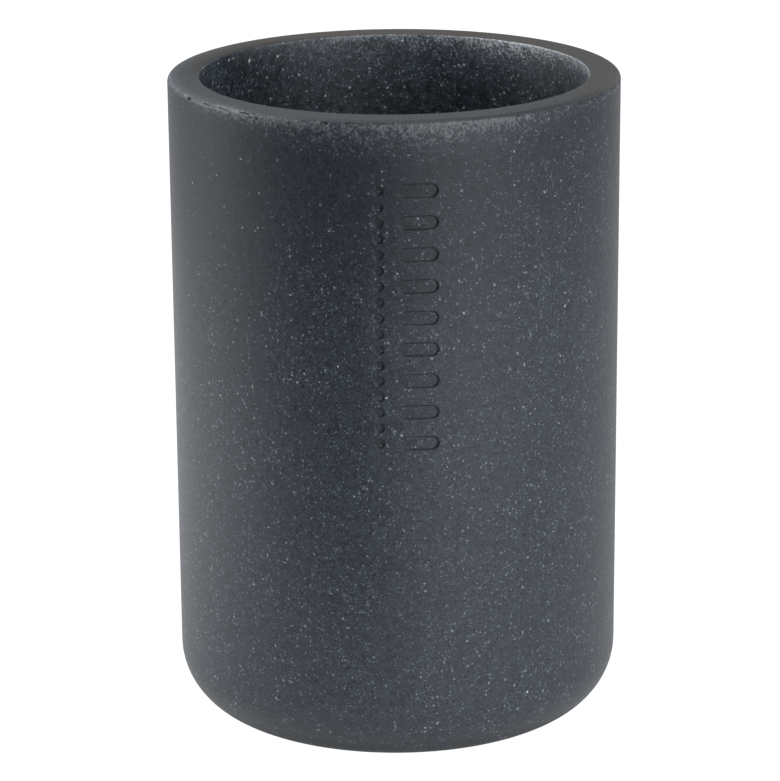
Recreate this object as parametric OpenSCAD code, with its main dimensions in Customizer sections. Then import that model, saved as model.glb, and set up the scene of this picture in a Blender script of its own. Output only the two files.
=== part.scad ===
// Bathroom tumbler: a cast stone-look resin vessel on a bonded non-slip pad.
// Millimetres, +Z up, with the origin at the middle of the pad's underside. The motif faces -Y.

/* [Body] */
// Height of the cast body, from its underside to the rim
body_h = 109.5; // [90:0.5:130]
// Diameter of the side at the rim
rim_d = 75; // [68:0.5:90]
// Diameter that the side would have at the underside, without its round foot
foot_d = 74; // [66:0.5:86]
// Thickness of the wall at the rim
rim_wall = 5.3; // [4:0.1:8]
// Thickness that the wall gains from the rim down to the floor, so that the mould's core comes out
wall_gain = 0.3; // [0:0.05:1]
// Thickness of the floor
floor_t = 8; // [6:0.5:12]

/* [Rounded edges] */
// Radius of the foot, between side and underside
foot_r = 11.5; // [6:0.5:15]
// Radius of the rim's outer edge
rim_outer_r = 0.9; // [0.4:0.1:1.5]
// Radius of the rim's inner edge
rim_inner_r = 0.4; // [0.2:0.1:1.5]
// Radius of the corner between the inner wall and the floor
floor_r = 6; // [3:0.5:10]

/* [Debossed motif] */
// Depth of the motif in the side
motif_depth = 0.35; // [0.2:0.05:0.8]
// Distance from the rim down to the highest bar
motif_drop = 10.2; // [6:0.2:20]
// Number of bars in the upright row
bar_count = 9; // [3:1:11]
// Distance between the middles of two bars
bar_pitch = 5.2; // [4:0.1:6]
// Width of a bar, round the side
bar_w = 6.4; // [3:0.1:9]
// Height of a bar
bar_h = 2.2; // [1:0.1:3]
// Angle round the side at which the row of bars stands, to the right of the front
bar_turn = 5.5; // [4:0.5:12]
// Diameter of the round dimples in the row beside the bars
dimple_d = 1.5; // [0.8:0.1:2]
// Angle round the side at which the row of dimples stands, to the left of the front
dimple_turn = 4.2; // [3:0.1:12]

/* [Base pad] */
// Thickness of the foam pad
pad_t = 1.5; // [1:0.1:3]
// Thickness of the adhesive film that holds it
film_t = 0.2; // [0.1:0.05:0.5]
// Height by which the pad stands proud of the underside
pad_proud = 0.5; // [0.2:0.1:0.8]
// Width of the flat ring left bare between the pad's recess and the round foot
land_w = 2.2; // [1:0.1:4]
// Gap between the pad's edge and the edge of its recess
pad_gap = 0.3; // [0.1:0.05:0.8]

/* [Hidden] */
$fn = 180;

// Length by which a cutting shape runs past what it cuts
overrun = 1;

// The side leans out as it rises: its radius at a height, and its lean
function side_x(z) = foot_d / 2 + (rim_d - foot_d) / 2 * z / body_h;
side_lean = atan((rim_d - foot_d) / 2 / body_h);

// The inner wall, parallel to the side apart from what it gains in thickness
function wall_x(z) = side_x(z) - rim_wall - wall_gain * (body_h - z) / (body_h - floor_t);
wall_lean = atan((wall_x(body_h) - wall_x(floor_t)) / (body_h - floor_t));

// Middles of the rounded edges, each touching the straight line that leans beside it
foot_x = side_x(foot_r) - foot_r / cos(side_lean);
rim_outer_z = body_h - rim_outer_r;
rim_outer_x = side_x(rim_outer_z) - rim_outer_r / cos(side_lean);
rim_inner_z = body_h - rim_inner_r;
rim_inner_x = wall_x(rim_inner_z) + rim_inner_r / cos(wall_lean);
floor_z = floor_t + floor_r;
floor_x = wall_x(floor_z) - floor_r / cos(wall_lean);

// Point where a rounded edge with this middle meets a line of this lean, on the line's right or left
function meets_right(x, z, r, lean) = [x + r * cos(lean), z - r * sin(lean)];
function meets_left(x, z, r, lean) = [x - r * cos(lean), z + r * sin(lean)];

// The pad sits in a recess that leaves a flat ring inside the round foot
recess_r = foot_x - land_w;
recess_depth = pad_t + film_t - pad_proud;
pad_r = recess_r - pad_gap;

// The motif's rows, with a dimple beside each bar and one between each two
dimple_count = 2 * bar_count - 1;
dimple_pitch = bar_pitch / 2;
motif_top_z = body_h - motif_drop - bar_h / 2;
motif_low_z = motif_top_z - (bar_count - 1) * bar_pitch;

// Half section of the vessel's outside, from the axis outwards
module outer_section() {
    polygon([
        [0, 0],
        [foot_x, 0],
        [foot_x, foot_r],
        meets_right(foot_x, foot_r, foot_r, side_lean),
        meets_right(rim_outer_x, rim_outer_z, rim_outer_r, side_lean),
        [rim_outer_x, rim_outer_z],
        [rim_outer_x, body_h],
        [0, body_h]
    ]);
    translate([foot_x, foot_r]) circle(foot_r);
    translate([rim_outer_x, rim_outer_z]) circle(rim_outer_r);
}

// Half section of the space inside, running past the rim
module cavity_section() {
    difference() {
        polygon([
            [0, floor_t],
            [floor_x, floor_t],
            [floor_x, floor_z],
            meets_right(floor_x, floor_z, floor_r, wall_lean),
            meets_left(rim_inner_x, rim_inner_z, rim_inner_r, wall_lean),
            [rim_inner_x, rim_inner_z],
            [rim_inner_x, body_h + overrun],
            [0, body_h + overrun]
        ]);
        translate([rim_inner_x, rim_inner_z]) circle(rim_inner_r);
    }
    translate([floor_x, floor_z]) circle(floor_r);
}

// The casting before the motif: a body of revolution with the pad's recess in its underside
module plain_casting() {
    rotate_extrude() difference() {
        outer_section();
        cavity_section();
        translate([0, -overrun]) square([recess_r, recess_depth + overrun]);
    }
}

// Skin of the side, as deep as the motif, from below its lowest bar to above its highest
module side_skin() {
    low_z = motif_low_z - bar_h - dimple_d;
    high_z = motif_top_z + bar_h + dimple_d;
    rotate_extrude() polygon([
        [side_x(low_z) - motif_depth, low_z],
        [side_x(low_z) + overrun, low_z],
        [side_x(high_z) + overrun, high_z],
        [side_x(high_z) - motif_depth, high_z]
    ]);
}

// Places a flat outline on the side at a height and turn, as a prism that runs in and out through the skin
module on_side(z, turn) {
    rotate([0, 0, turn])
        translate([0, -side_x(z), z])
            rotate([90, 0, 0])
                linear_extrude(2 * (motif_depth + overrun), center = true) children();
}

// Outline of a bar with round ends
module bar_outline() {
    half_run = (bar_w - bar_h) / 2;
    square([2 * half_run, bar_h], center = true);
    for (end = [-1, 1]) translate([end * half_run, 0]) circle(bar_h / 2);
}

// What the motif takes out of the side: an upright row of plain bars, and a row of dimples beside it
module motif() {
    intersection() {
        side_skin();
        union() {
            for (i = [0 : bar_count - 1]) on_side(motif_top_z - i * bar_pitch, bar_turn) bar_outline();
            for (i = [0 : dimple_count - 1]) {
                on_side(motif_top_z - i * dimple_pitch, -dimple_turn) circle(dimple_d / 2);
            }
        }
    }
}

// Cast resin vessel: side wall, floor, flat rim and round foot
module tumbler_body() {
    color([0.26, 0.28, 0.31]) translate([0, 0, pad_proud]) difference() {
        plain_casting();
        motif();
    }
}

// Adhesive film between the pad and the ceiling of its recess
module adhesive_film() {
    color([0.78, 0.76, 0.68]) translate([0, 0, pad_t]) cylinder(h = film_t, r = pad_r);
}

// Non-slip foam pad that the tumbler stands on
module base_pad() {
    color([0.08, 0.08, 0.09]) cylinder(h = pad_t, r = pad_r);
}

tumbler_body();
adhesive_film();
base_pad();
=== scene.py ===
"""Looks of the bathroom tumbler: cast resin with pale flakes, on a foam pad, in soft studio light."""
import math
import random

import bpy
import numpy as np
from mathutils import Matrix, Vector


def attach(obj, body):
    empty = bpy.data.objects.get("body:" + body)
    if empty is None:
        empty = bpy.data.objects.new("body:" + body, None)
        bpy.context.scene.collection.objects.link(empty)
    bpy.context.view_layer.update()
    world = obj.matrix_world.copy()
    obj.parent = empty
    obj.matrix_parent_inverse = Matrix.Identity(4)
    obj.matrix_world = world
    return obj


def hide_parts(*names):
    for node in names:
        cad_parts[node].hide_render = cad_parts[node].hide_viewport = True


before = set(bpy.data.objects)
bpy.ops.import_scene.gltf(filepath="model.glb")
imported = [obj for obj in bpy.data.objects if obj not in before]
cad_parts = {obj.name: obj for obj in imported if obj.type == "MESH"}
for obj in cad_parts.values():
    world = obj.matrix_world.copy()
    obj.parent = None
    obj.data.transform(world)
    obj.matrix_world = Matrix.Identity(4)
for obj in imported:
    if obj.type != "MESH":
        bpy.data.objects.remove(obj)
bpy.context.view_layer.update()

MM = 0.001

# Sizes of the casting in millimetres, measured up from its own underside, as the CAD model has them
BODY_H = 109.5
RIM_D = 75.0
FOOT_D = 74.0
RIM_WALL = 5.3
WALL_GAIN = 0.3
FLOOR_T = 8.0
FOOT_R = 11.5
RIM_OUTER_R = 0.9
RIM_INNER_R = 0.4
FLOOR_R = 6.0
PAD_T = 1.5
FILM_T = 0.2
PAD_PROUD = 0.5
LAND_W = 2.2
RECESS_EDGE_R = 0.2

# The debossed motif, in millimetres and in degrees round the side
MOTIF_DEPTH = 0.35
MOTIF_DROP = 10.2
BAR_COUNT = 9
BAR_PITCH = 5.2
BAR_W = 6.4
BAR_H = 2.2
BAR_TURN = 5.5
DIMPLE_D = 1.5
DIMPLE_TURN = -4.2
GROOVE_EDGE = 0.34
MOTIF_MARGIN = 0.6

# Columns round the casting, the mesh's step in the motif, and how far below the rim its close columns and
# its nicks reach
PLAIN_COLUMNS = 120
SIDE_COLUMNS = 90
RIM_COLUMNS = 600
NICK_COLUMNS = 300
NICK_TURNS = (-67.0, -35.0)
MOTIF_STEP = 0.16
RIM_ZONE = 3.0
# Radius of the innermost ring under the foot and on the floor, inside which the mesh closes in one point
MIDDLE_R = 1.0
# The side is drawn in by this much, so that its true circle stays within the CAD model's box
INSET = 0.02

# Rings along each stretch of the half section
RECESS_RINGS = 4
RECESS_EDGE_RINGS = 3
LAND_RINGS = 3
FOOT_RINGS = 28
LOW_SIDE_RINGS = 10
HIGH_SIDE_RINGS = 4
RIM_SIDE_RINGS = 7
RIM_OUTER_RINGS = 16
RIM_FACE_RINGS = 4
RIM_INNER_RINGS = 5
RIM_WALL_RINGS = 3
WALL_RINGS = 24
FLOOR_EDGE_RINGS = 14
FLOOR_RINGS = 8

# Floor and lights, in metres and watts
COVE_RADIUS = 1.8
COVE_BEND = 0.5
COVE_HEIGHT = 1.8
COVE_COLUMNS = 96
COVE_BEND_RINGS = 12
FLOOR_DROP = -0.0001
FLOOR_COLOUR = (0.1, 0.1, 0.1, 1)
FLOOR_GLOW = 0.97
SHADE_RADIUS = 0.0335
SHADE_COLUMNS = 96
SHADE_COLOUR = (0.05, 0.05, 0.05, 1)
SHADE_GLOW = 0.42
WHITE = (1, 1, 1, 1)
ROOM_LIGHT = 0.2
SIDE_LAMP_AWAY = 0.75
SIDE_LAMP_UP = 0.32
LAMP_AIM = 0.06
SIDE_LAMP_W = 0.3
SIDE_LAMP_H = 0.55

# Name, degrees to the right of the front, and power
SIDE_LAMPS = [
    ("side_lamp_right_front", 25, 2.3),
    ("side_lamp_right", 50, 1.9),
    ("side_lamp_back_right", 155, 0.3),
    ("side_lamp_back", 180, 0.12),
    ("side_lamp_back_left", -155, 0.3),
    ("side_lamp_left_back", -125, 0.6),
    ("side_lamp_left", -100, 4.1),
]
# Name, place, width, height and power
HIGH_LAMPS = [
    ("high_lamp_left", (-0.7, 0, 0.8), 0.5, 0.8, 1.0),
    ("high_lamp_back_left", (-0.5, 0.5, 0.8), 0.5, 0.5, 2.0),
    ("high_lamp_back_right", (0.5, 0.5, 0.8), 0.5, 0.5, 0.8),
    ("high_lamp_top", (0, 0, 0.7), 0.3, 0.3, 0.7),
]
# Name, extent in x, extent in y, and power for each square metre
TABLE_GLOWS = [
    ("table_front", -0.1, 0.1, -0.1, 0.0, 2.85),
    ("table_back", -0.1, 0.1, 0.0, 0.1, 3.2),
    ("table_left", -0.3, -0.1, -0.1, 0.3, 4.7),
    ("table_right", 0.1, 0.3, -0.1, 0.3, 3.1),
    ("table_far_front", 0.0, 0.3, -0.3, -0.1, 4.2),
    ("table_far_right", 0.3, 0.8, -0.3, 0.8, 1.9),
    ("table_far_back", -0.1, 0.1, 0.1, 0.3, 3.5),
    ("table_farthest_back", -0.3, 0.3, 0.3, 0.8, 3.5),
]

# The camera: its distance from the point that it looks at, in millimetres, and its lens, with the nearest
# and farthest that it sees in metres
CAMERA_AWAY = 700.9
CAMERA_ELEVATION = math.radians(16.2)
CAMERA_ROLL = math.radians(-0.42)
CAMERA_AIM = (-1.04, 0.0, PAD_PROUD + BODY_H / 2 - 0.04)
CAMERA_FOCAL_PX = 4147.0
CAMERA_LONG_SIDE_PX = 781.0
CAMERA_SENSOR = 36.0
CAMERA_CLIP = (0.01, 20.0)


def side_x(z):
    """Radius of the outer side at a height."""
    return FOOT_D / 2 + (RIM_D - FOOT_D) / 2 * z / BODY_H


def wall_x(z):
    """Radius of the inner wall at a height."""
    return side_x(z) - RIM_WALL - WALL_GAIN * (BODY_H - z) / (BODY_H - FLOOR_T)


SIDE_LEAN = math.atan((RIM_D - FOOT_D) / 2 / BODY_H)
WALL_LEAN = math.atan((wall_x(BODY_H) - wall_x(FLOOR_T)) / (BODY_H - FLOOR_T))
FOOT_X = side_x(FOOT_R) - FOOT_R / math.cos(SIDE_LEAN)
RIM_OUTER_Z = BODY_H - RIM_OUTER_R
RIM_OUTER_X = side_x(RIM_OUTER_Z) - RIM_OUTER_R / math.cos(SIDE_LEAN)
RIM_INNER_Z = BODY_H - RIM_INNER_R
RIM_INNER_X = wall_x(RIM_INNER_Z) + RIM_INNER_R / math.cos(WALL_LEAN)
FLOOR_Z = FLOOR_T + FLOOR_R
FLOOR_X = wall_x(FLOOR_Z) - FLOOR_R / math.cos(WALL_LEAN)
RECESS_R = FOOT_X - LAND_W
RECESS_DEPTH = PAD_T + FILM_T - PAD_PROUD
MOTIF_TOP_Z = BODY_H - MOTIF_DROP - BAR_H / 2
MOTIF_LOW_Z = MOTIF_TOP_Z - (BAR_COUNT - 1) * BAR_PITCH
MOTIF_REACH = BAR_H / 2 + MOTIF_MARGIN


class Outline:
    """Rings of the casting from the middle of the recess out, up, over the rim and down to the middle of
    the floor. Each ring is (radius, height, normal's angle, columns)."""

    def __init__(self):
        self.rings = []

    def line(self, start, end, angle, steps, columns):
        for i in range(steps):
            t = (i + 0.5) / steps
            x, z = (a + (b - a) * t for a, b in zip(start, end))
            self.rings.append((x, z, angle, columns))

    def arc(self, x, z, r, start, end, steps, columns, hollow=False):
        for i in range(steps + 1):
            a = start + (end - start) * i / steps
            turned = a + math.pi if hollow else a
            self.rings.append((x + r * math.cos(a), z + r * math.sin(a), turned, columns))


def even_columns(count):
    """Angles all round, evenly spaced."""
    return [2 * math.pi * i / count - math.pi for i in range(count)]


def crowded_columns(low, high, fine, plain):
    """Angles all round, with a number of fine steps between two angles, and evenly spaced elsewhere."""
    dense = [low + (high - low) * i / fine for i in range(fine + 1)]
    gap = 2 * math.pi / plain
    spread = [a for a in even_columns(plain) if a < low - gap / 2 or a > high + gap / 2]
    return sorted(dense + spread)


def motif_columns():
    """Angles all round, close together where the motif is."""
    low = math.radians(DIMPLE_TURN) - (DIMPLE_D / 2 + MOTIF_MARGIN) / side_x(MOTIF_TOP_Z)
    high = math.radians(BAR_TURN) + (BAR_W / 2 + MOTIF_MARGIN) / side_x(MOTIF_TOP_Z)
    fine = round((high - low) * side_x(MOTIF_TOP_Z) / MOTIF_STEP)
    return crowded_columns(low, high, fine, SIDE_COLUMNS)


def rim_columns():
    """Angles all round, closest together where the rim's edge is nicked in front."""
    low, high = (math.radians(turn) for turn in NICK_TURNS)
    return crowded_columns(low, high, NICK_COLUMNS, RIM_COLUMNS)


def casting_outline():
    """The whole half section, with more rings where it curves and where the motif is."""
    plain, side, rim = even_columns(PLAIN_COLUMNS), motif_columns(), rim_columns()
    right, up, left, down = 0.0, math.pi / 2, math.pi, -math.pi / 2
    inward = math.pi - WALL_LEAN
    edge = RECESS_EDGE_R
    low, high = MOTIF_LOW_Z - MOTIF_REACH, MOTIF_TOP_Z + MOTIF_REACH
    zone = BODY_H - RIM_ZONE
    o = Outline()
    o.line((MIDDLE_R, RECESS_DEPTH), (RECESS_R - edge, RECESS_DEPTH), down, RECESS_RINGS, plain)
    o.arc(RECESS_R - edge, RECESS_DEPTH - edge, edge, up, right, RECESS_EDGE_RINGS, plain, hollow=True)
    o.arc(RECESS_R + edge, edge, edge, left, 1.5 * math.pi, RECESS_EDGE_RINGS, plain)
    o.line((RECESS_R + edge, 0), (FOOT_X, 0), down, LAND_RINGS, plain)
    o.arc(FOOT_X, FOOT_R, FOOT_R, down, -SIDE_LEAN, FOOT_RINGS, plain)
    o.line((side_x(FOOT_R), FOOT_R), (side_x(low), low), -SIDE_LEAN, LOW_SIDE_RINGS, plain)
    motif_rings = round((high - low) / MOTIF_STEP)
    o.line((side_x(low), low), (side_x(high), high), -SIDE_LEAN, motif_rings, side)
    o.line((side_x(high), high), (side_x(zone), zone), -SIDE_LEAN, HIGH_SIDE_RINGS, plain)
    o.line((side_x(zone), zone), (side_x(RIM_OUTER_Z), RIM_OUTER_Z), -SIDE_LEAN, RIM_SIDE_RINGS, rim)
    o.arc(RIM_OUTER_X, RIM_OUTER_Z, RIM_OUTER_R, -SIDE_LEAN, up, RIM_OUTER_RINGS, rim)
    o.line((RIM_OUTER_X, BODY_H), (RIM_INNER_X, BODY_H), up, RIM_FACE_RINGS, rim)
    o.arc(RIM_INNER_X, RIM_INNER_Z, RIM_INNER_R, up, inward, RIM_INNER_RINGS, rim)
    o.line((wall_x(RIM_INNER_Z), RIM_INNER_Z), (wall_x(zone), zone), inward, RIM_WALL_RINGS, rim)
    o.line((wall_x(zone), zone), (wall_x(FLOOR_Z), FLOOR_Z), inward, WALL_RINGS, plain)
    o.arc(FLOOR_X, FLOOR_Z, FLOOR_R, -WALL_LEAN, down, FLOOR_EDGE_RINGS, plain, hollow=True)
    o.line((FLOOR_X, FLOOR_T), (MIDDLE_R, FLOOR_T), up, FLOOR_RINGS, plain)
    return o.rings


def ease(t):
    """Smooth step from 0 to 1."""
    t = np.clip(t, 0.0, 1.0)
    return t * t * (3 - 2 * t)


def motif_depth(angle, z):
    """Depth of the motif below the side, from each bar's and each dimple's outline."""
    inside = np.full(angle.shape, -1.0)
    for i in range(BAR_COUNT):
        u = side_x(z) * np.sin(angle - math.radians(BAR_TURN))
        along = np.maximum(np.abs(u) - (BAR_W - BAR_H) / 2, 0.0)
        inside = np.maximum(inside, BAR_H / 2 - np.hypot(along, z - (MOTIF_TOP_Z - i * BAR_PITCH)))
    for i in range(2 * BAR_COUNT - 1):
        u = side_x(z) * np.sin(angle - math.radians(DIMPLE_TURN))
        inside = np.maximum(inside, DIMPLE_D / 2 - np.hypot(u, z - (MOTIF_TOP_Z - i * BAR_PITCH / 2)))
    front = np.cos(angle) > 0
    return np.where(front, MOTIF_DEPTH * ease(inside / GROOVE_EDGE + 0.5), 0.0)


# Nicks in the rim's outer edge: first and last turn in degrees, depth below the rim of each end, half
# width and depth in millimetres
FRONT_NICKS = [
    (-62.6, -61.6, 0.45, 0.60, 0.36, 0.30),
    (-60.3, -59.9, 0.95, 1.25, 0.20, 0.10),
    (-54.6, -52.4, 0.34, 0.46, 0.17, 0.16),
    (-52.0, -50.2, 0.52, 0.46, 0.12, 0.10),
    (-48.6, -46.9, 0.34, 0.40, 0.16, 0.15),
    (-46.2, -44.6, 0.46, 0.50, 0.14, 0.13),
    (-41.0, -38.2, 0.40, 0.47, 0.16, 0.17),
    (-36.6, -35.8, 0.30, 0.42, 0.20, 0.12),
    (-17.4, -15.8, 0.50, 0.60, 0.14, 0.11),
    (-12.2, -9.8, 0.42, 0.48, 0.15, 0.11),
    (-4.8, -1.2, 0.42, 0.46, 0.13, 0.10),
]
# Small nicks all round: how many, the seed of their places, and the ranges of their sizes
SMALL_NICKS = 40
NICK_SEED = 11
NICK_DROPS = (0.2, 1.0)
NICK_SWEEPS = (0.1, 0.8)
NICK_FALL = 0.1
NICK_HALF_WIDTHS = (0.2, 0.4)
NICK_DEPTHS = (0.05, 0.12)
# How steep a nick's sides are, where 1 is one smooth curve right across
NICK_STEEPNESS = 1.2


def rim_nicks():
    """The nicks that show in front, and small ones all round."""
    draw = random.Random(NICK_SEED)
    found = list(FRONT_NICKS)
    for i in range(SMALL_NICKS):
        turn = draw.uniform(-180, 180)
        drop = draw.uniform(*NICK_DROPS)
        last_turn = turn + draw.uniform(*NICK_SWEEPS)
        half_width = draw.uniform(*NICK_HALF_WIDTHS)
        deep = draw.uniform(*NICK_DEPTHS)
        found.append((turn, last_turn, drop, drop + NICK_FALL, half_width, deep))
    return found


def rim_point(degrees, drop):
    """A point close to the rim's outer edge."""
    a = math.radians(degrees)
    reach = max(RIM_OUTER_R - drop, 0.0)
    x = RIM_OUTER_X + math.sqrt(max(RIM_OUTER_R ** 2 - reach ** 2, 0.0))
    return np.array([x * math.sin(a), -x * math.cos(a), BODY_H - drop])


def nick_depth(points):
    """Depth of the nicks at points of the surface: each is a short trough between its two ends."""
    depth = np.zeros(points.shape[:-1])
    for first_turn, last_turn, first_drop, last_drop, half_width, deep in rim_nicks():
        first, last = rim_point(first_turn, first_drop), rim_point(last_turn, last_drop)
        run = last - first
        share = np.clip(((points - first) @ run) / (run @ run), 0.0, 1.0)
        away = np.linalg.norm(points - first - share[..., None] * run, axis=-1)
        depth = np.maximum(depth, deep * ease(NICK_STEEPNESS * (1 - away / half_width)))
    return depth


def surface(ring_x, ring_z, tilt, angle):
    """Points of the casting, with the motif and the nicks cut into them."""
    on_side = np.isclose(tilt, -SIDE_LEAN)
    flat = np.stack([ring_x * np.sin(angle), -ring_x * np.cos(angle), ring_z], axis=-1)
    across = np.cos(tilt)
    normal = np.stack([across * np.sin(angle), -across * np.cos(angle), np.sin(tilt)], axis=-1)
    depth = np.where(on_side, motif_depth(angle, ring_z), 0.0)
    depth = depth + np.where(ring_z > BODY_H - RIM_ZONE, nick_depth(flat), 0.0)
    depth = depth + INSET * np.maximum(across, 0.0)
    return flat - normal * depth[..., None], normal


def surface_with_normals(ring_x, ring_z, tilt, angle):
    """Points and their normals, from small steps along and round the surface."""
    step = 0.02
    nothing = 1e-9
    here, plain = surface(ring_x, ring_z, tilt, angle)
    along_x, along_z = -np.sin(tilt) * step, np.cos(tilt) * step
    ahead, _ = surface(ring_x + along_x, ring_z + along_z, tilt, angle)
    behind, _ = surface(ring_x - along_x, ring_z - along_z, tilt, angle)
    turn = step / np.maximum(ring_x, MIDDLE_R)
    onward, _ = surface(ring_x, ring_z, tilt, angle + turn)
    back, _ = surface(ring_x, ring_z, tilt, angle - turn)
    normal = np.cross(onward - back, ahead - behind)
    length = np.linalg.norm(normal, axis=-1, keepdims=True)
    normal = np.where(length > nothing, normal / np.maximum(length, nothing), plain)
    facing = np.sign((normal * plain).sum(-1, keepdims=True))
    return here, normal * np.where(facing == 0, 1, facing)


def stitch(low, low_angles, high, high_angles):
    """Faces between two closed rings of vertices. Rings with the same columns join in quads, others in
    triangles."""
    n, m = len(low), len(high)
    if low_angles is high_angles:
        return [(low[i], low[(i + 1) % n], high[(i + 1) % n], high[i]) for i in range(n)]
    faces, i, j = [], 0, 0
    full = 2 * math.pi
    while i < n or j < m:
        next_low = low_angles[(i + 1) % n] + (full if i + 1 >= n else 0.0)
        next_high = high_angles[(j + 1) % m] + (full if j + 1 >= m else 0.0)
        if j >= m or (i < n and next_low <= next_high):
            faces.append((low[i % n], low[(i + 1) % n], high[j % m]))
            i += 1
        else:
            faces.append((low[i % n], high[(j + 1) % m], high[j % m]))
            j += 1
    return faces


def make_casting():
    """The casting as one closed mesh, with its normals taken from the surface itself."""
    rings = casting_outline()
    counts = [len(ring[3]) for ring in rings]
    angle = np.concatenate([np.array(ring[3]) for ring in rings])
    ring_x, ring_z, tilt = (np.repeat([ring[k] for ring in rings], counts) for k in range(3))
    points, normals = surface_with_normals(ring_x, ring_z, tilt, angle)
    starts = np.concatenate([[0], np.cumsum(counts)])
    rows = [list(range(starts[k], starts[k + 1])) for k in range(len(rings))]
    faces = []
    for k in range(len(rings) - 1):
        faces += stitch(rows[k], rings[k][3], rows[k + 1], rings[k + 1][3])
    below, above = len(points), len(points) + 1
    points = np.vstack([points, [0, 0, RECESS_DEPTH], [0, 0, FLOOR_T]])
    normals = np.vstack([normals, [0, 0, -1], [0, 0, 1]])
    first, last = rows[0], rows[-1]
    faces += [(below, first[(i + 1) % len(first)], first[i]) for i in range(len(first))]
    faces += [(above, last[i], last[(i + 1) % len(last)]) for i in range(len(last))]
    points[:, 2] += PAD_PROUD
    mesh = bpy.data.meshes.new("tumbler_casting")
    mesh.from_pydata((points * MM).tolist(), [], faces)
    mesh.validate()
    mesh.shade_smooth()
    mesh.normals_split_custom_set_from_vertices(normals.tolist())
    casting = bpy.data.objects.new("tumbler_casting", mesh)
    bpy.context.scene.collection.objects.link(casting)
    return casting


class Graph:
    """A material's node tree, with one short call for each kind of node."""

    def __init__(self, name):
        self.material = bpy.data.materials.new(name)
        self.material.use_nodes = True
        self.tree = self.material.node_tree
        self.shader = self.tree.nodes["Principled BSDF"]

    def feed(self, socket, value):
        """Links a socket to another, or gives it a value."""
        if isinstance(value, bpy.types.NodeSocket):
            self.tree.links.new(value, socket)
        else:
            socket.default_value = value

    def node(self, kind, inputs, **settings):
        made = self.tree.nodes.new(kind)
        for key, value in settings.items():
            setattr(made, key, value)
        for key, value in inputs.items():
            self.feed(made.inputs[key], value)
        return made

    def vector(self, operation, place, other):
        """Adds or subtracts a vector, or scales by a number."""
        key = "Scale" if operation == "SCALE" else 1
        return self.node("ShaderNodeVectorMath", {0: place, key: other}, operation=operation).outputs[0]

    def place(self):
        """Where a point is on the object, in millimetres."""
        return self.vector("SCALE", self.node("ShaderNodeTexCoord", {}).outputs["Object"], 1 / MM)

    def maths(self, operation, *values):
        return self.node("ShaderNodeMath", dict(enumerate(values)), operation=operation).outputs[0]

    def chain(self, operation, values):
        """One operation from each value to the next."""
        result = values[0]
        for value in values[1:]:
            result = self.maths(operation, result, value)
        return result

    def product(self, *values):
        return self.chain("MULTIPLY", values)

    def total(self, *values):
        return self.chain("ADD", values)

    def minus(self, *values):
        return self.chain("SUBTRACT", values)

    def greatest(self, *values):
        return self.chain("MAXIMUM", values)

    def noise(self, place, offset, size, detail=2.0, roughness=0.5):
        """Noise from 0 to 1, with its pattern moved by an offset and its size in millimetres."""
        moved = self.vector("ADD", place, offset)
        inputs = {"Vector": moved, "Scale": 1 / size, "Detail": detail, "Roughness": roughness}
        return self.node("ShaderNodeTexNoise", inputs).outputs["Fac"]

    def swing(self, *noise):
        """Noise that swings about 0, from -0.5 to 0.5."""
        return self.minus(self.noise(*noise), 0.5)

    def span(self, value, low, high, to_low=0.0, to_high=1.0):
        """A smooth ramp: to_low where the value is low, to_high where it is high."""
        inputs = {"Value": value, "From Min": low, "From Max": high, "To Min": to_low, "To Max": to_high}
        return self.node("ShaderNodeMapRange", inputs, interpolation_type="SMOOTHSTEP").outputs["Result"]

    def spans(self, value, ramps):
        """The sum of several ramps over one value."""
        return self.total(*(self.span(value, *ramp) for ramp in ramps))

    def window(self, value, edges, top=1.0):
        """A ramp up between the first two edges, and down again between the last two."""
        start, full, still_full, end = edges
        return self.product(self.span(value, start, full), self.span(value, end, still_full, 0.0, top))

    def mix(self, share, first, second):
        """Mixes two colours, whose sockets have the numbers 6 and 7."""
        made = self.node("ShaderNodeMix", {}, data_type="RGBA")
        self.feed(made.inputs[0], share)
        self.feed(made.inputs[6], first)
        self.feed(made.inputs[7], second)
        return made.outputs[2]

    def mix_value(self, share, first, second):
        inputs = {"Factor": share, "A": first, "B": second}
        return self.node("ShaderNodeMix", inputs, data_type="FLOAT").outputs[0]

    def brighter(self, colour, gain):
        """A colour with a share of itself added."""
        return self.vector("SCALE", colour, self.total(gain, 1.0))

    def bent(self, place, size, reach):
        """A point moved about by noise, so that what is round at it gets an uneven edge."""
        inputs = {"Vector": place, "Scale": 1 / size, "Detail": 1.0}
        noise = self.node("ShaderNodeTexNoise", inputs).outputs["Color"]
        middle = self.vector("SUBTRACT", noise, (0.5, 0.5, 0.5))
        return self.vector("ADD", place, self.vector("SCALE", middle, 2 * reach))

    def flakes(self, place, offset, cell, radius, share):
        """Round flakes, at most one in each cell of space: (cover from 0 to 1, a random value for each)."""
        inputs = {"Vector": self.vector("ADD", place, offset), "Scale": 1 / cell, "Randomness": 1.0}
        cells = self.node("ShaderNodeTexVoronoi", inputs, feature="F1")
        lots = self.node("ShaderNodeSeparateColor", {0: cells.outputs["Color"]}).outputs
        reach = self.span(lots[1], 0.0, 1.0, SMALLEST_FLAKE * radius / cell, radius / cell)
        depth = self.minus(reach, cells.outputs["Distance"])
        cover = self.span(depth, 0.0, FLAKE_EDGE * radius / cell)
        return self.product(cover, self.maths("LESS_THAN", lots[0], share)), lots[2]

    def dress(self, colour, rough):
        """Gives the shader its colour and roughness."""
        self.feed(self.shader.inputs["Base Color"], colour)
        self.feed(self.shader.inputs["Roughness"], rough)

    def bump(self, height, strength, distance):
        """Gives the shader a bump, with its distance in millimetres."""
        inputs = {"Strength": strength, "Distance": distance * MM, "Height": height}
        self.feed(self.shader.inputs["Normal"], self.node("ShaderNodeBump", inputs).outputs[0])


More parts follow.
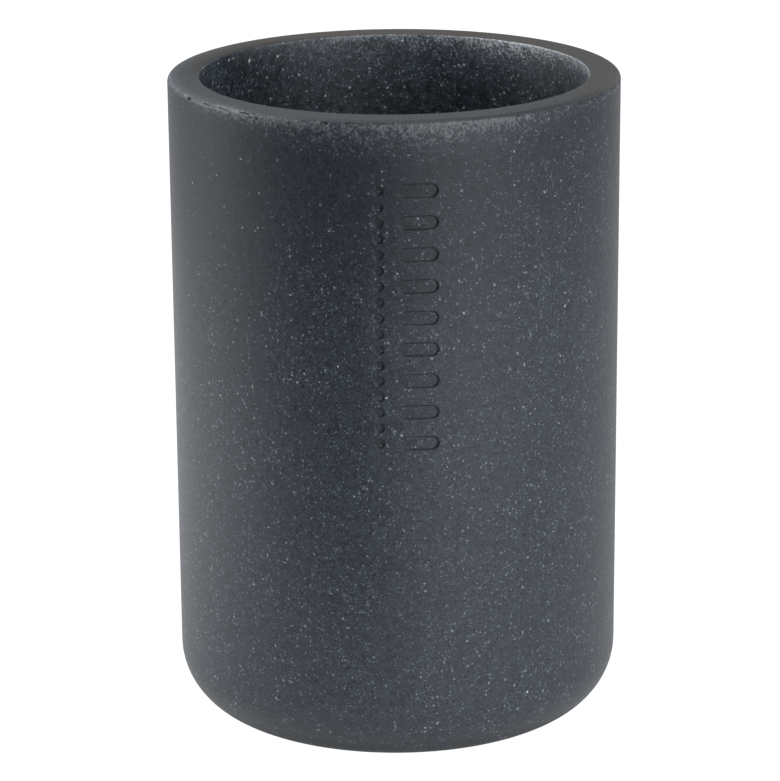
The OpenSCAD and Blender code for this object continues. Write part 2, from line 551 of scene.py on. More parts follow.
# In the names below, a turn is four angles in degrees, to the right of the front or, for spot.back, of the
# back: where something starts, is full, is still full, and ends. A patch is such a turn, four depths below
# the rim in the same order, and its strength. A ramp is the two ends of a range and, where given, what holds
# at each. A noise is its pattern's offset, its size in millimetres and, where given, its detail and
# roughness.
HERE = (0.0, 0.0, 0.0)

# Radius of the smallest flake and width of a flake's soft edge, as shares of the largest radius
SMALLEST_FLAKE = 0.45
FLAKE_EDGE = 0.25

# What counts as inside: nearer the axis than about the middle of the wall, and no lower than just under the
# floor's face
INSIDE_MARGIN = 0.3
INSIDE_LEAN = 0.003
INSIDE_FLOOR_MARGIN = 1.0

# The ground face of the rim
GROUND_NOISE = (HERE, 1.3, 3.0)
GROUND_RAGGED = 0.5
GROUND_WORN_TURN = (-84.0, -72.0, -44.0, -36.0)
GROUND_WORN_RAMP = (35.4, 36.5, 0.0, 0.36)
GROUND_INNER_STEEPNESS = 3.0
GROUND_END_RAMP = (0.75, 0.45)
COOL_DARK = (0.026, 0.0352, 0.0445, 1)
COOL_PALE = (0.037, 0.0455, 0.0545, 1)
WARM_DARK = (0.036, 0.034, 0.031, 1)
WARM_PALE = (0.047, 0.043, 0.038, 1)
GROUND_TONE_NOISE = (HERE, 7.0)
WARM_BACK_RAMP = (95.0, 40.0)
WARM_RIGHT_RAMP = (44.0, 66.0, 0.0, 0.65)
SCUFF_LEFT_RAMP = (-40.0, -62.0)
SCUFF_BACK_RAMP = (-160.0, -100.0, 0.2, 1.0)
SCUFF_RIGHT_RAMP = (64.0, 84.0, 0.0, 0.20)
SCUFF_AWAY_RAMP = (35.0, 36.5)
DIM_TURN = (-100.0, -80.0, -42.0, -22.0)
DIM_AWAY_RAMP = (35.4, 32.6, 0.10, 0.75)
# Painted shade on the rim's outer edge at the front's right
EDGE_SHADE_TURN = (22.0, 44.0, 60.0, 72.0)
EDGE_SHADE_DROP_RAMP = (0.30, 0.08)
EDGE_SHADE_AWAY_RAMP = (35.0, 36.6, 0.0, 0.75)
EDGE_SHADE_COLOUR = (0.0080, 0.0090, 0.0110, 1)

# Pale dust and painted sheen on the rim's outer edge and on the side under it
OUTER_DUST_AND_SHEEN_TOP = 0.7
OUTER_DUST_AND_SHEEN_LEFT_RAMP = (-66.0, -44.0, 0.08, 0.90)
OUTER_DUST_AND_SHEEN_RIGHT_RAMP = (56.0, 20.0, 0.09, 1.0)
OUTER_REACH_RAMPS = [
    (-50.0, 0.0, 0.75, 1.9),
    (4.0, 20.0, 0.0, -0.45),
    (100.0, 160.0, 0.0, -0.70),
]
# Where there is more of it: turn, share and reach
MORE_DUST_AND_SHEEN = [
    ((-48.0, -40.0, -30.0, -18.0), 0.72, 0.35),
    ((-4.0, 8.0, 22.0, 30.0), 0.468, 1.0),
]
OUTER_DUST_AND_SHEEN_DROP_RAMP = (0.30, 0.95, 0.38, 1.0)
PALE_EDGE_TURN = (-92.0, -80.0, -44.0, -30.0)
PALE_EDGE_DROP_RAMP = (0.85, 0.25)
PALE_EDGE_SHARE_RAMP = (-58.0, -48.0, 0.46, 0.80)
LOW_DUST_AND_SHEEN_PATCH = ((26.0, 34.0, 84.0, 92.0), (0.08, 0.30, 0.8, 1.3), 0.32)

# Pale dust and painted sheen under the rim's inner edge
BROAD_DUST_AND_SHEEN_RAMPS = [
    (-75.0, -20.0, 0.05, 0.58),
    (-20.0, 0.0, 0.0, -0.12),
    (5.0, 35.0, 0.0, 0.55),
    (44.0, 66.0, 0.0, -0.16),
]
BROAD_FRONT_RAMP = (165.0, 95.0, 0.06, 1.0)
BROAD_REACH_RAMP = (45.0, 65.0, 1.6, 1.25)
NARROW_DUST_AND_SHEEN_RAMPS = [
    (-24.0, -4.0, 0.0, 0.62),
    (15.0, 38.0, 0.0, 0.25),
]
NARROW_FRONT_RAMP = (165.0, 95.0)
NARROW_REACH = 0.6
SOFT_TURN = (-150.0, -110.0, -35.0, 0.0)
SOFT_SHARE = 0.7

# How the dust and painted sheen lie: in grains, in blotches, and as an even veil where it is soft
DUST_AND_SHEEN_GRAIN_NOISE = ((4.0, 9.0, 5.5), 0.42, 2.0, 0.65)
DUST_AND_SHEEN_BLOTCH_NOISE = ((31.0, 5.0, 0.0), 1.7)
DUST_AND_SHEEN_BLOTCH_RAMP = (0.3, 0.7, 0.50, 1.60)
DUST_AND_SHEEN_LIMIT = 0.70
DUST_AND_SHEEN_LIMIT_FALL = 0.40
DUST_AND_SHEEN_GRAIN_RAMP = (-0.12, 0.12)
DUST_AND_SHEEN_IN_GRAINS = 0.56
DUST_AND_SHEEN_BETWEEN = 0.44
DUST_AND_SHEEN_VEIL = 0.62
DUST_AND_SHEEN_LEAST_RAMP = (0.0, 0.08)
POWDER_AND_SHEEN_LIT_RAMP = (0.40, 0.72)
POWDER_AND_SHEEN_SOFT_LIT = 0.30
POWDER_AND_SHEEN_DARK = (0.073, 0.082, 0.094, 1)
POWDER_AND_SHEEN_PALE = (0.168, 0.183, 0.203, 1)
INNER_POWDER_AND_SHEEN_DARK = (0.130, 0.145, 0.160, 1)
INNER_POWDER_AND_SHEEN_PALE = (0.420, 0.445, 0.470, 1)
# Painted highlight close under the inner edge at the back's right
INNER_HIGHLIGHT_RISE_RAMP = (12.0, 36.0)
INNER_HIGHLIGHT_FALL_RAMP = (60.0, 42.0, 0.1, 0.95)
INNER_HIGHLIGHT_REACH = 1.0

# How close together the flakes lie
SLANT = 0.6
THREAD_NOISE = (HERE, 2.6)
THREAD_RAMP = (0.0, 0.10, 1.70, 0.38)
CROWD_NOISE = ((17.0, 3.0, 8.0), 7.0)
CROWD_RAMP = (0.35, 0.65, 0.58, 1.32)
# Fewer flakes high at the left and under the foot: painted shade
FLAKE_SHADE_RAMP = (-5.0, 45.0, 0.06, 1.0)
FOOT_FLAKE_SHADE_RAMP = (98.0, 108.0, 1.0, 0.45)
INNER_CROWD_RAMP = (4.0, 14.0, 1.9, 1.5)
STREWN_PATCH = ((-36.0, -14.0, 44.0, 60.0), (0.8, 1.6, 4.5, 11.0), 0.38)
CHIP_NOISE = ((12.0, 6.0, 2.0), 4.0)
CHIP_RAMP = (0.35, 0.65, 0.22, 0.65)
CHIP_DROP_RAMP = (2.5, 6.0, 1.0, 1.6)
CHIP_SPARSE_TURN = (-150.0, -110.0, -76.0, -50.0)
CHIP_SPARSE_RAMP = (0.0, 1.0, 1.0, 0.3)

# Each kind of flake: its pattern's offset, cell and largest radius in millimetres, share of the cells that
# have one, how well it covers, and the two colours between which each flake's own lies, nearer the first
DARK_FLAKE = (0.0030, 0.0045, 0.0070, 1)
FLAKES = {
    "dark": ((23.0, 5.0, 1.0), 0.66, 0.23, 0.42, 0.9, DARK_FLAKE, DARK_FLAKE),
    "fine": ((3.1, 7.7, 1.3), 0.42, 0.20, 0.80, 1.0, (0.040, 0.058, 0.073, 1), (0.15, 0.18, 0.20, 1)),
    "small": ((11.9, 2.3, 5.1), 0.70, 0.23, 0.45, 1.0, (0.062, 0.085, 0.104, 1), (0.27, 0.305, 0.33, 1)),
    "large": ((6.7, 13.3, 9.9), 1.70, 0.22, 0.45, 1.0, (0.12, 0.155, 0.17, 1), (0.42, 0.46, 0.47, 1)),
}
CHIPS = ((41.0, 17.0, 29.0), 1.15, 0.28, 1.0, 1.0, (0.13, 0.165, 0.185, 1), (0.56, 0.61, 0.64, 1))
FLAKE_TONE_POWER = 2.0
# Size and reach of the noise that makes the flakes' outlines uneven
FLAKE_BEND = (0.55, 0.30)

# The resin itself: its tone, the painted shade that darkens it, and the painted light and shade that make it
# paler inside. A bump is its strength, and its distance in millimetres
CLOUD_NOISE = (HERE, 1.3, 3.0, 0.6)
CLOUD_RAMP = (0.3, 0.7)
CLOUD_SHARE = 0.3
GRAIN_NOISE = ((2.0, 3.0, 5.0), 0.36, 2.0, 0.6)
GRAIN_RAMP = (0.30, 0.70)
GRAIN_SHARE = 0.7
RESIN_DARK = (0.0080, 0.0122, 0.0190, 1)
RESIN_PALE = (0.0442, 0.0570, 0.0755, 1)
RESIN_SHADED = (0.0020, 0.0055, 0.0105, 1)
# Painted shade over the outside of the resin: along the lean, under the foot, near the rim and in a patch
# right of the middle
LEAN_SHADE_RAMP = (-22.0, 60.0, 0.58, 1.0)
FOOT_SHADE_RAMP = (98.0, 108.0, 1.0, 0.38)
TOP_SHADE_RAMP = (10.0, 34.0, 0.89, 1.0)
MIDDLE_SHADE_PATCH = ((-16.0, 4.0, 26.0, 44.0), (4.0, 8.0, 24.0, 38.0), 0.12)
INNER_SHADE = 0.9
# Painted light and shade inside: paler near the rim, darker lower down and at both sides, with random
# patches
GAIN_RAMP = (3.0, 11.0, 0.22, -0.18)
GAIN_LEFT_TURN = (-68.0, -58.0, -44.0, -30.0)
GAIN_RIGHT_TURN = (42.0, 62.0, 110.0, 165.0)
GAIN_LOSS = 0.45
GAIN_LEFT_DROP_RAMP = (4.0, 9.0, 1.0, 0.35)
GAIN_RIGHT_DROP_RAMP = (1.0, 3.0)
GAIN_FINE_NOISE = ((7.0, 1.0, 4.0), 0.9)
GAIN_FINE_RAMP = (2.0, 6.0, 2.1, 2.8)
GAIN_COARSE_NOISE = ((5.0, 11.0, 3.0), 2.2)
GAIN_COARSE = 1.2
# Painted shade on the walls of the motif's grooves
GROOVE_WALL_DEPTHS = (0.02, 0.14, MOTIF_DEPTH - 0.06, MOTIF_DEPTH + 0.02)
GROOVE_SHADE_SHARE = 0.6
GROOVE_SHADE_COLOUR = (0.0040, 0.0055, 0.0080, 1)
# Painted shade at the bottoms of the rim's nicks
NICK_SHADE_RAMP = (0.05, 0.11)
NICK_SHADE_SHARE = 0.85
NICK_SHADE_COLOUR = (0.0050, 0.0060, 0.0075, 1)
RESIN_ROUGH_RAMP = (0.0, 1.0, 0.46, 0.56)
RESIN_IOR = 1.5
RESIN_GRAIN_HEIGHT = 0.8
RESIN_BUMP = (0.4, 0.03)


class Spot:
    """What the resin's look depends on at a point: its place in millimetres, how far it is to the right and
    from the axis, its depth below the rim, whether it is inside, its turn in degrees to the right of the
    front and of the back, and a depth that grows to the right."""

    def __init__(self, g):
        self.place = g.place()
        self.x, y, up = g.node("ShaderNodeSeparateXYZ", {0: self.place}).outputs
        self.away = g.maths("SQRT", g.total(g.product(self.x, self.x), g.product(y, y)))
        self.drop = g.minus(PAD_PROUD + BODY_H, up)
        middle = side_x(BODY_H / 2) - RIM_WALL / 2 + INSIDE_MARGIN
        within = g.maths("LESS_THAN", self.away, g.minus(middle, g.product(self.drop, INSIDE_LEAN)))
        above = g.maths("LESS_THAN", self.drop, BODY_H - FLOOR_T + INSIDE_FLOOR_MARGIN)
        self.inside = g.product(within, above)
        self.front = g.product(g.maths("ARCTAN2", self.x, g.product(y, -1.0)), math.degrees(1))
        self.back = g.product(g.maths("ARCTAN2", self.x, y), math.degrees(1))
        self.slanted = g.total(self.drop, g.product(self.x, SLANT))


def fall(g, drop, reach):
    """1 at the rim, falling off with depth below it."""
    return g.maths("EXPONENT", g.product(g.maths("DIVIDE", drop, reach), -1.0))


def patch(g, spot, turn, drops, strength):
    """A patch between angles to the right of the front, and between depths below the rim."""
    return g.product(g.window(spot.front, turn), g.window(spot.drop, drops, strength))


def resin_ground(g, spot):
    """Share of the ground, flake-free face of the rim: it ends on the rounded edges, in a ragged line, and
    further in at the left, where its outer edge is worn."""
    ragged = g.product(g.noise(spot.place, *GROUND_NOISE), GROUND_RAGGED)
    worn = g.product(g.window(spot.front, GROUND_WORN_TURN), g.span(spot.away, *GROUND_WORN_RAMP))
    steep = g.product(spot.drop, g.span(spot.inside, 0.0, 1.0, 1.0, GROUND_INNER_STEEPNESS))
    return g.span(g.total(steep, ragged, worn), *GROUND_END_RAMP)


def resin_outer_dust_and_sheen(g, spot):
    """Share of dust and painted sheen on the rim's outer edge and on the side under it: most in front, least
    at the sides.
    """
    below = g.greatest(g.minus(spot.drop, OUTER_DUST_AND_SHEEN_TOP), 0.0)
    dust_and_sheen = g.product(g.span(spot.front, *OUTER_DUST_AND_SHEEN_LEFT_RAMP), g.span(spot.front, *OUTER_DUST_AND_SHEEN_RIGHT_RAMP))
    dust_and_sheen = g.product(dust_and_sheen, fall(g, below, g.spans(spot.front, OUTER_REACH_RAMPS)))
    for turn, share, reach in MORE_DUST_AND_SHEEN:
        dust_and_sheen = g.total(dust_and_sheen, g.product(g.window(spot.front, turn, share), fall(g, below, reach)))
    dust_and_sheen = g.product(dust_and_sheen, g.span(spot.drop, *OUTER_DUST_AND_SHEEN_DROP_RAMP))
    edge = g.product(g.window(spot.front, PALE_EDGE_TURN), g.span(spot.drop, *PALE_EDGE_DROP_RAMP))
    edge = g.product(edge, g.span(spot.front, *PALE_EDGE_SHARE_RAMP))
    return g.greatest(dust_and_sheen, edge, patch(g, spot, *LOW_DUST_AND_SHEEN_PATCH))


def resin_inner_dust_and_sheen(g, spot):
    """Share of dust and painted sheen under the inner edge: a broad fringe and a narrow one, both strongest
    at the back's right."""
    broad = g.product(g.spans(spot.back, BROAD_DUST_AND_SHEEN_RAMPS), g.span(spot.back, *BROAD_FRONT_RAMP))
    broad = g.product(broad, fall(g, spot.drop, g.span(spot.back, *BROAD_REACH_RAMP)))
    narrow = g.product(g.spans(spot.back, NARROW_DUST_AND_SHEEN_RAMPS), g.span(spot.back, *NARROW_FRONT_RAMP))
    narrow = g.product(narrow, fall(g, spot.drop, NARROW_REACH))
    return g.total(broad, narrow)


def resin_dust_and_sheen(g, spot, soft, grains):
    """Share of the pale dust and painted sheen under the rim: in grains, and in an even veil where it is
    soft.
    """
    share = g.mix_value(spot.inside, resin_outer_dust_and_sheen(g, spot), resin_inner_dust_and_sheen(g, spot))
    blotch = g.noise(spot.place, *DUST_AND_SHEEN_BLOTCH_NOISE)
    share = g.product(share, g.span(blotch, *DUST_AND_SHEEN_BLOTCH_RAMP))
    limit = g.minus(DUST_AND_SHEEN_LIMIT, g.product(share, DUST_AND_SHEEN_LIMIT_FALL))
    cover = g.product(g.span(g.minus(grains, limit), *DUST_AND_SHEEN_GRAIN_RAMP), DUST_AND_SHEEN_IN_GRAINS)
    cover = g.total(cover, g.product(share, DUST_AND_SHEEN_BETWEEN))
    cover = g.mix_value(soft, cover, g.product(share, DUST_AND_SHEEN_VEIL))
    return g.product(cover, g.span(share, *DUST_AND_SHEEN_LEAST_RAMP))


def resin_powder_and_sheen(g, spot, soft, grains):
    """Colour of the dust and painted sheen: paler inside, and palest close under the inner edge at the
    back's right, where it is a painted highlight.
    """
    lit = g.mix_value(soft, g.span(grains, *POWDER_AND_SHEEN_LIT_RAMP), POWDER_AND_SHEEN_SOFT_LIT)
    outer = g.mix(lit, POWDER_AND_SHEEN_DARK, POWDER_AND_SHEEN_PALE)
    inner = g.mix(lit, INNER_POWDER_AND_SHEEN_DARK, INNER_POWDER_AND_SHEEN_PALE)
    painted_highlight = g.product(g.span(spot.back, *INNER_HIGHLIGHT_RISE_RAMP), g.span(spot.back, *INNER_HIGHLIGHT_FALL_RAMP))
    # Painted highlight close under the inner edge at the back's right
    inner = g.brighter(inner, g.product(painted_highlight, fall(g, spot.drop, INNER_HIGHLIGHT_REACH)))
    return g.mix(spot.inside, outer, inner)


def resin_crowd(g, spot):
    """How close together the flakes are: in fine threads, in patches, more of them low down, at the right
    and inside, fewer under the foot, and some strewn below the dust and painted sheen in front. The fewer
    flakes high at the left and under the foot are painted shade."""
    thread = g.span(g.maths("ABSOLUTE", g.swing(spot.place, *THREAD_NOISE)), *THREAD_RAMP)
    patches = g.span(g.noise(spot.place, *CROWD_NOISE), *CROWD_RAMP)
    # Fewer flakes high at the left and under the foot, as painted shade
    thinned_in_shade = g.product(g.span(spot.slanted, *FLAKE_SHADE_RAMP), g.span(spot.drop, *FOOT_FLAKE_SHADE_RAMP))
    within = g.product(spot.inside, g.span(spot.drop, *INNER_CROWD_RAMP))
    return g.product(thread, patches, g.greatest(thinned_in_shade, within, patch(g, spot, *STREWN_PATCH)))


def resin_chip_share(g, spot):
    """How many of the coarse chips show: only inside, in patches, more of them below the dust and painted
    sheen, fewest at the left."""
    patches = g.span(g.noise(spot.place, *CHIP_NOISE), *CHIP_RAMP)
    sparse = g.span(g.window(spot.back, CHIP_SPARSE_TURN), *CHIP_SPARSE_RAMP)
    return g.product(spot.inside, patches, g.span(spot.drop, *CHIP_DROP_RAMP), sparse)


def lay_flakes(g, place, colour, crowd, kind):
    """Lays one kind of flake over a colour, more of them where they crowd: (colour, cover)."""
    offset, cell, radius, share, strength, dull, pale = kind
    cover, lot = g.flakes(place, offset, cell, radius, g.product(crowd, share))
    own = g.mix(g.maths("POWER", lot, FLAKE_TONE_POWER), dull, pale)
    return g.mix(g.product(cover, strength), colour, own), cover


def resin_inner_painted_light_and_tone(g, spot):
    """Painted light and shade inside: how much paler than outside the casting is drawn inside, less at both
    sides, in patches, and less lower down, where it turns to painted shade.
    """
    left = g.window(spot.back, GAIN_LEFT_TURN, GAIN_LOSS)
    left = g.product(left, g.span(spot.drop, *GAIN_LEFT_DROP_RAMP))
    right = g.window(spot.back, GAIN_RIGHT_TURN, GAIN_LOSS)
    right = g.product(right, g.span(spot.drop, *GAIN_RIGHT_DROP_RAMP))
    gain = g.minus(g.span(spot.drop, *GAIN_RAMP), left, right)
    fine = g.product(g.swing(spot.place, *GAIN_FINE_NOISE), g.span(spot.drop, *GAIN_FINE_RAMP))
    coarse = g.product(g.swing(spot.place, *GAIN_COARSE_NOISE), GAIN_COARSE)
    return g.product(spot.inside, g.total(gain, fine, coarse))


def resin_smooth(g, spot):
    """Colour of the ground face: bluish in front, warmer behind and at the right, darker at the left of its
    inner edge, and scuffed at both ends of its outer edge."""
    tone = g.noise(spot.place, *GROUND_TONE_NOISE)
    behind = g.span(g.maths("ABSOLUTE", spot.back), *WARM_BACK_RAMP)
    warm = g.greatest(behind, g.span(spot.front, *WARM_RIGHT_RAMP))
    colour = g.mix(warm, g.mix(tone, COOL_DARK, COOL_PALE), g.mix(tone, WARM_DARK, WARM_PALE))
    scuffed = g.product(g.span(spot.front, *SCUFF_LEFT_RAMP), g.span(spot.front, *SCUFF_BACK_RAMP))
    scuffed = g.total(scuffed, g.span(spot.front, *SCUFF_RIGHT_RAMP))
    scuffed = g.product(scuffed, g.span(spot.away, *SCUFF_AWAY_RAMP))
    dim = g.product(g.window(spot.back, DIM_TURN), g.span(spot.away, *DIM_AWAY_RAMP))
    return g.brighter(colour, g.minus(scuffed, dim))


def resin_painted_edge_shade(g, spot):
    """Share of painted shade on the rim's outer edge, at the front's right."""
    there = g.product(g.window(spot.front, EDGE_SHADE_TURN), g.span(spot.drop, *EDGE_SHADE_DROP_RAMP))
    return g.product(there, g.span(spot.away, *EDGE_SHADE_AWAY_RAMP))


def resin_depth_shade(g, spot):
    """Share of the resin's own colour; the rest is painted shade: more of it near the rim, most of all at
    the left, in a patch right of the middle, and under the foot."""
    # Painted shade: darker near the rim, at the upper left, in a patch right of the middle, and under the
    # foot
    shade = g.product(g.span(spot.slanted, *LEAN_SHADE_RAMP), g.span(spot.drop, *FOOT_SHADE_RAMP))
    shade = g.product(shade, g.span(spot.drop, *TOP_SHADE_RAMP))
    shade = g.minus(shade, patch(g, spot, *MIDDLE_SHADE_PATCH))
    return g.greatest(shade, g.product(spot.inside, INNER_SHADE))


def resin_groove_shade(g, spot):
    """Share of painted shade on the motif's edges: the walls of its grooves, from how far they lie below the
    side.
    """
    slope = (RIM_D - FOOT_D) / 2 / BODY_H
    side = g.minus(side_x(BODY_H) - INSET, g.product(spot.drop, slope))
    wall = g.window(g.minus(side, spot.away), GROOVE_WALL_DEPTHS)
    top, low = BODY_H - MOTIF_TOP_Z - MOTIF_REACH, BODY_H - MOTIF_LOW_Z + MOTIF_REACH
    here = g.product(g.maths("GREATER_THAN", spot.drop, top), g.maths("LESS_THAN", spot.drop, low))
    return g.product(wall, here)


def resin_nick_shade(g, spot):
    """Share of painted shade at the nicks' bottoms, from how far they lie within the rim's rounded outer
    edge or the side under it."""
    out = g.greatest(g.minus(spot.away, RIM_OUTER_X), 0.0)
    up = g.greatest(g.minus(RIM_OUTER_R, spot.drop), 0.0)
    reach = g.maths("SQRT", g.total(g.product(out, out), g.product(up, up)))
    depth = g.minus(RIM_OUTER_R, reach)
    here = g.product(g.maths("GREATER_THAN", out, 0.0), g.maths("LESS_THAN", spot.drop, RIM_ZONE))
    return g.product(g.span(depth, *NICK_SHADE_RAMP), here)


def resin_tone(g, spot):
    """The resin's fine grain, and the tone that grain and clouds give it."""
    cloud = g.span(g.noise(spot.place, *CLOUD_NOISE), *CLOUD_RAMP)
    grain = g.span(g.noise(spot.place, *GRAIN_NOISE), *GRAIN_RAMP)
    return grain, g.total(g.product(cloud, CLOUD_SHARE), g.product(grain, GRAIN_SHARE))


def resin_flaked(g, spot, colour):
    """A colour with the flakes and chips laid over it, and the cover of the fine flakes."""
    bent = g.bent(spot.place, *FLAKE_BEND)
    crowd = resin_crowd(g, spot)
    covers = {}
    for name, kind in FLAKES.items():
        colour, covers[name] = lay_flakes(g, bent, colour, crowd, kind)
    colour, _ = lay_flakes(g, bent, colour, resin_chip_share(g, spot), CHIPS)
    return colour, covers["fine"]


def resin_with_dust_and_sheen(g, spot, colour):
    """A colour with the dust and painted sheen over it, and their share."""
    soft = g.product(spot.inside, g.window(spot.back, SOFT_TURN, SOFT_SHARE))
    grains = g.noise(spot.place, *DUST_AND_SHEEN_GRAIN_NOISE)
    dust_and_sheen = resin_dust_and_sheen(g, spot, soft, grains)
    return g.mix(dust_and_sheen, colour, resin_powder_and_sheen(g, spot, soft, grains)), dust_and_sheen


def resin_worn_and_shaded(g, spot, colour, ground):
    """A colour with painted shade in the motif's grooves, the ground face, painted shade on its outer edge
    at the front's right, and painted shade in the nicks over it.
    """
    # Painted shade in the motif's grooves
    colour = g.mix(g.product(resin_groove_shade(g, spot), GROOVE_SHADE_SHARE), colour, GROOVE_SHADE_COLOUR)
    colour = g.mix(ground, colour, resin_smooth(g, spot))
    # Painted shade on the rim's outer edge at the front's right
    colour = g.mix(resin_painted_edge_shade(g, spot), colour, EDGE_SHADE_COLOUR)
    # Painted shade in the nicks
    return g.mix(g.product(resin_nick_shade(g, spot), NICK_SHADE_SHARE), colour, NICK_SHADE_COLOUR)


def resin_material():
    """Dark slate resin with fine grain and pale flakes under painted shade, painted light and shade inside,
    dust and painted sheen under the rim, and a ground rim face.
    """
    g = Graph("cast_resin")
    spot = Spot(g)
    grain, tone = resin_tone(g, spot)
    # The resin's tone, darkened by painted shade
    colour = g.mix(resin_depth_shade(g, spot), RESIN_SHADED, g.mix(tone, RESIN_DARK, RESIN_PALE))
    colour, fine = resin_flaked(g, spot, colour)
    # Painted light and shade inside
    colour = g.brighter(colour, resin_inner_painted_light_and_tone(g, spot))
    # Pale dust and painted sheen under the rim
    colour, dust_and_sheen = resin_with_dust_and_sheen(g, spot, colour)
    ground = resin_ground(g, spot)
    g.dress(resin_worn_and_shaded(g, spot, colour, ground), g.span(tone, *RESIN_ROUGH_RAMP))
    g.feed(g.shader.inputs["IOR"], RESIN_IOR)
    height = g.total(g.product(grain, RESIN_GRAIN_HEIGHT), fine, dust_and_sheen)
    g.bump(g.product(height, g.minus(1.0, ground)), *RESIN_BUMP)
    return g.material


# The foam: its pores' cell, radius and share, its tone, and its bump
PORES = (HERE, 0.28, 0.12, 0.9)
PORE_COVER = 0.6
PORE_COLOUR = (0.006, 0.006, 0.006, 1)
FOAM_NOISE = (HERE, 1.5, 3.0)
FOAM_DARK = (0.013, 0.013, 0.014, 1)
FOAM_PALE = (0.024, 0.024, 0.025, 1)
FOAM_ROUGH_RAMP = (0.0, 1.0, 0.75, 0.9)
FOAM_BUMP = (0.6, 0.05)

# The adhesive
ADHESIVE_NOISE = (HERE, 3.0, 3.0)
ADHESIVE_DARK = (0.50, 0.46, 0.34, 1)
ADHESIVE_PALE = (0.62, 0.58, 0.46, 1)
ADHESIVE_ROUGH_RAMP = (0.0, 1.0, 0.3, 0.45)


def foam_material():
    """Closed-cell foam: near black, with fine pores."""
    g = Graph("foam")
    place = g.place()
    pores, lot = g.flakes(place, *PORES)
    colour = g.mix(g.noise(place, *FOAM_NOISE), FOAM_DARK, FOAM_PALE)
    colour = g.mix(g.product(pores, PORE_COVER), colour, PORE_COLOUR)
    g.dress(colour, g.span(lot, *FOAM_ROUGH_RAMP))
    g.bump(g.minus(1.0, pores), *FOAM_BUMP)
    return g.material


def adhesive_material():
    """Clear-amber transfer adhesive."""
    g = Graph("adhesive")
    tone = g.noise(g.place(), *ADHESIVE_NOISE)
    g.dress(g.mix(tone, ADHESIVE_DARK, ADHESIVE_PALE), g.span(tone, *ADHESIVE_ROUGH_RAMP))
    return g.material


def glowing(name, colour, glow):
    """A plain matt material that glows white."""
    g = Graph(name)
    g.dress(colour, 1.0)
    g.feed(g.shader.inputs["Emission Color"], WHITE)
    g.feed(g.shader.inputs["Emission Strength"], glow)
    return g


def wear(piece, material):
    """Gives a piece one material."""
    piece.data.materials.clear()
    piece.data.materials.append(material)


def place_camera():
    """The camera at the photograph's viewing angle, found by fitting the tumbler's outline to it."""
    look_at = Vector(CAMERA_AIM) * MM
    back = Vector((0.0, -math.cos(CAMERA_ELEVATION), math.sin(CAMERA_ELEVATION)))
    data = bpy.data.cameras.new("camera")
    camera = bpy.data.objects.new("camera", data)
    bpy.context.scene.collection.objects.link(camera)
    turn = (-back).to_track_quat("-Z", "Y").to_matrix().to_4x4()
    roll = Matrix.Rotation(CAMERA_ROLL, 4, "Z")
    camera.matrix_world = Matrix.Translation(look_at + back * CAMERA_AWAY * MM) @ turn @ roll
    data.sensor_width = CAMERA_SENSOR
    data.lens = CAMERA_SENSOR * CAMERA_FOCAL_PX / CAMERA_LONG_SIDE_PX
    data.clip_start, data.clip_end = CAMERA_CLIP
    bpy.context.scene.camera = camera


def circle(radius, z, columns):
    """Points all round at a height."""
    return [(radius * math.sin(a), -radius * math.cos(a), z) for a in even_columns(columns)]


def staged_mesh(name, points, faces):
    """A mesh of the set around the tumbler, which isn't part of it."""
    mesh = bpy.data.meshes.new(name)
    mesh.from_pydata(points, [], faces)
    made = bpy.data.objects.new(name, mesh)
    bpy.context.scene.collection.objects.link(made)
    return made


def cove_profile():
    """Radius and height of each ring of the floor and the wall, from where the floor begins to bend."""
    level = COVE_RADIUS - COVE_BEND
    profile = []
    for i in range(COVE_BEND_RINGS + 1):
        a = math.pi / 2 * i / COVE_BEND_RINGS
        profile.append((level + COVE_BEND * math.sin(a), COVE_BEND * (1 - math.cos(a))))
    return profile + [(COVE_RADIUS, COVE_HEIGHT)]


def cove_mesh():
    """The floor and the wall round it in one."""
    profile = cove_profile()
    points, faces = [(0.0, 0.0, FLOOR_DROP)], []
    for radius, z in profile:
        points += circle(radius, z + FLOOR_DROP, COVE_COLUMNS)
    for i in range(COVE_COLUMNS):
        j = (i + 1) % COVE_COLUMNS
        faces.append((0, 1 + i, 1 + j))
        for ring in range(len(profile) - 1):
            low, high = 1 + ring * COVE_COLUMNS, 1 + (ring + 1) * COVE_COLUMNS
            faces.append((low + i, high + i, high + j, low + j))
    return staged_mesh("floor", points, faces)


def make_cove():
    """A plain pale floor that turns up into a wall all round, seen by the camera alone, and clear from
    behind."""
    floor = cove_mesh()
    floor.data.shade_smooth()
    g = glowing("floor", FLOOR_COLOUR, FLOOR_GLOW)
    clear = g.node("ShaderNodeBsdfTransparent", {})
    side = g.node("ShaderNodeNewGeometry", {}).outputs["Backfacing"]
    both = g.node("ShaderNodeMixShader", {0: side, 1: g.shader.outputs[0], 2: clear.outputs[0]})
    g.tree.links.new(both.outputs[0], g.tree.nodes["Material Output"].inputs["Surface"])
    wear(floor, g.material)
    floor.visible_diffuse = False
    floor.visible_glossy = False
    floor.visible_shadow = False


def make_shade():
    """The table right under the foot, which the tumbler shades: a dim disc over the table's glow, hidden
    from view."""
    points = [(0.0, 0.0, FLOOR_DROP / 2)] + circle(SHADE_RADIUS, FLOOR_DROP / 2, SHADE_COLUMNS)
    faces = [(0, 1 + i, 1 + (i + 1) % SHADE_COLUMNS) for i in range(SHADE_COLUMNS)]
    shade = staged_mesh("table_shade", points, faces)
    wear(shade, glowing("table_shade", SHADE_COLOUR, SHADE_GLOW).material)
    shade.visible_camera = False


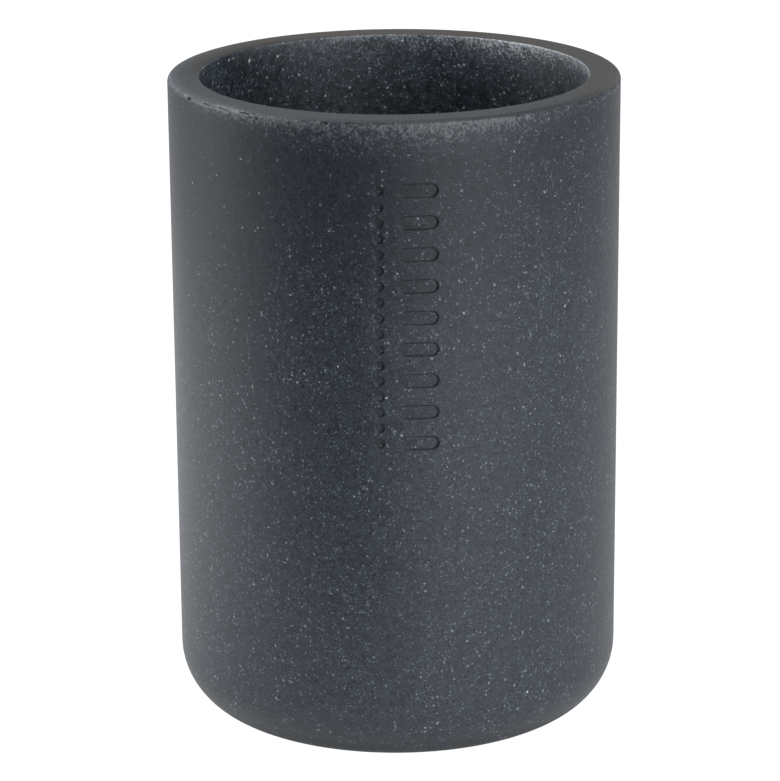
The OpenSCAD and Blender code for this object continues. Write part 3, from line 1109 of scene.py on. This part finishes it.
def make_world():
    """Dim surroundings above the table's height, and none below it."""
    world = bpy.data.worlds.new("studio")
    world.use_nodes = True
    tree = world.node_tree
    coordinates = tree.nodes.new("ShaderNodeTexCoord")
    split = tree.nodes.new("ShaderNodeSeparateXYZ")
    above = tree.nodes.new("ShaderNodeMath")
    above.operation = "GREATER_THAN"
    above.inputs[1].default_value = 0.0
    tree.links.new(coordinates.outputs["Generated"], split.inputs[0])
    tree.links.new(split.outputs[2], above.inputs[0])
    tree.links.new(above.outputs[0], tree.nodes["Background"].inputs["Color"])
    tree.nodes["Background"].inputs["Strength"].default_value = ROOM_LIGHT
    bpy.context.scene.world = world
    bpy.context.scene.view_settings.view_transform = "Standard"


def make_lamp(name, place, aim, width, height, power):
    """A soft rectangular lamp at a place, aimed at a point, all in metres and watts."""
    data = bpy.data.lights.new(name, "AREA")
    data.shape = "RECTANGLE"
    data.size, data.size_y = width, height
    data.energy = power
    lamp = bpy.data.objects.new(name, data)
    bpy.context.scene.collection.objects.link(lamp)
    lamp.location = place
    lamp.rotation_euler = (Vector(aim) - Vector(place)).to_track_quat("-Z", "Y").to_euler()


def make_lamps():
    """Tall soft lamps round the tumbler, soft lamps above, and the glow of the table under it."""
    for name, turn, power in SIDE_LAMPS:
        a = math.radians(turn)
        place = (SIDE_LAMP_AWAY * math.sin(a), -SIDE_LAMP_AWAY * math.cos(a), SIDE_LAMP_UP)
        make_lamp(name, place, (0, 0, LAMP_AIM), SIDE_LAMP_W, SIDE_LAMP_H, power)
    for name, place, width, height, power in HIGH_LAMPS:
        make_lamp(name, place, (0, 0, LAMP_AIM), width, height, power)
    for name, x0, x1, y0, y1, glow in TABLE_GLOWS:
        place = ((x0 + x1) / 2, (y0 + y1) / 2, FLOOR_DROP)
        make_lamp(name, place, (place[0], place[1], 1.0), x1 - x0, y1 - y0, glow * (x1 - x0) * (y1 - y0))


place_camera()
make_cove()
make_shade()
make_world()
make_lamps()

casting = make_casting()
wear(casting, resin_material())
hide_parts("tumbler_body")
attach(casting, "root")

wear(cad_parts["base_pad"], foam_material())
wear(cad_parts["adhesive_film"], adhesive_material())
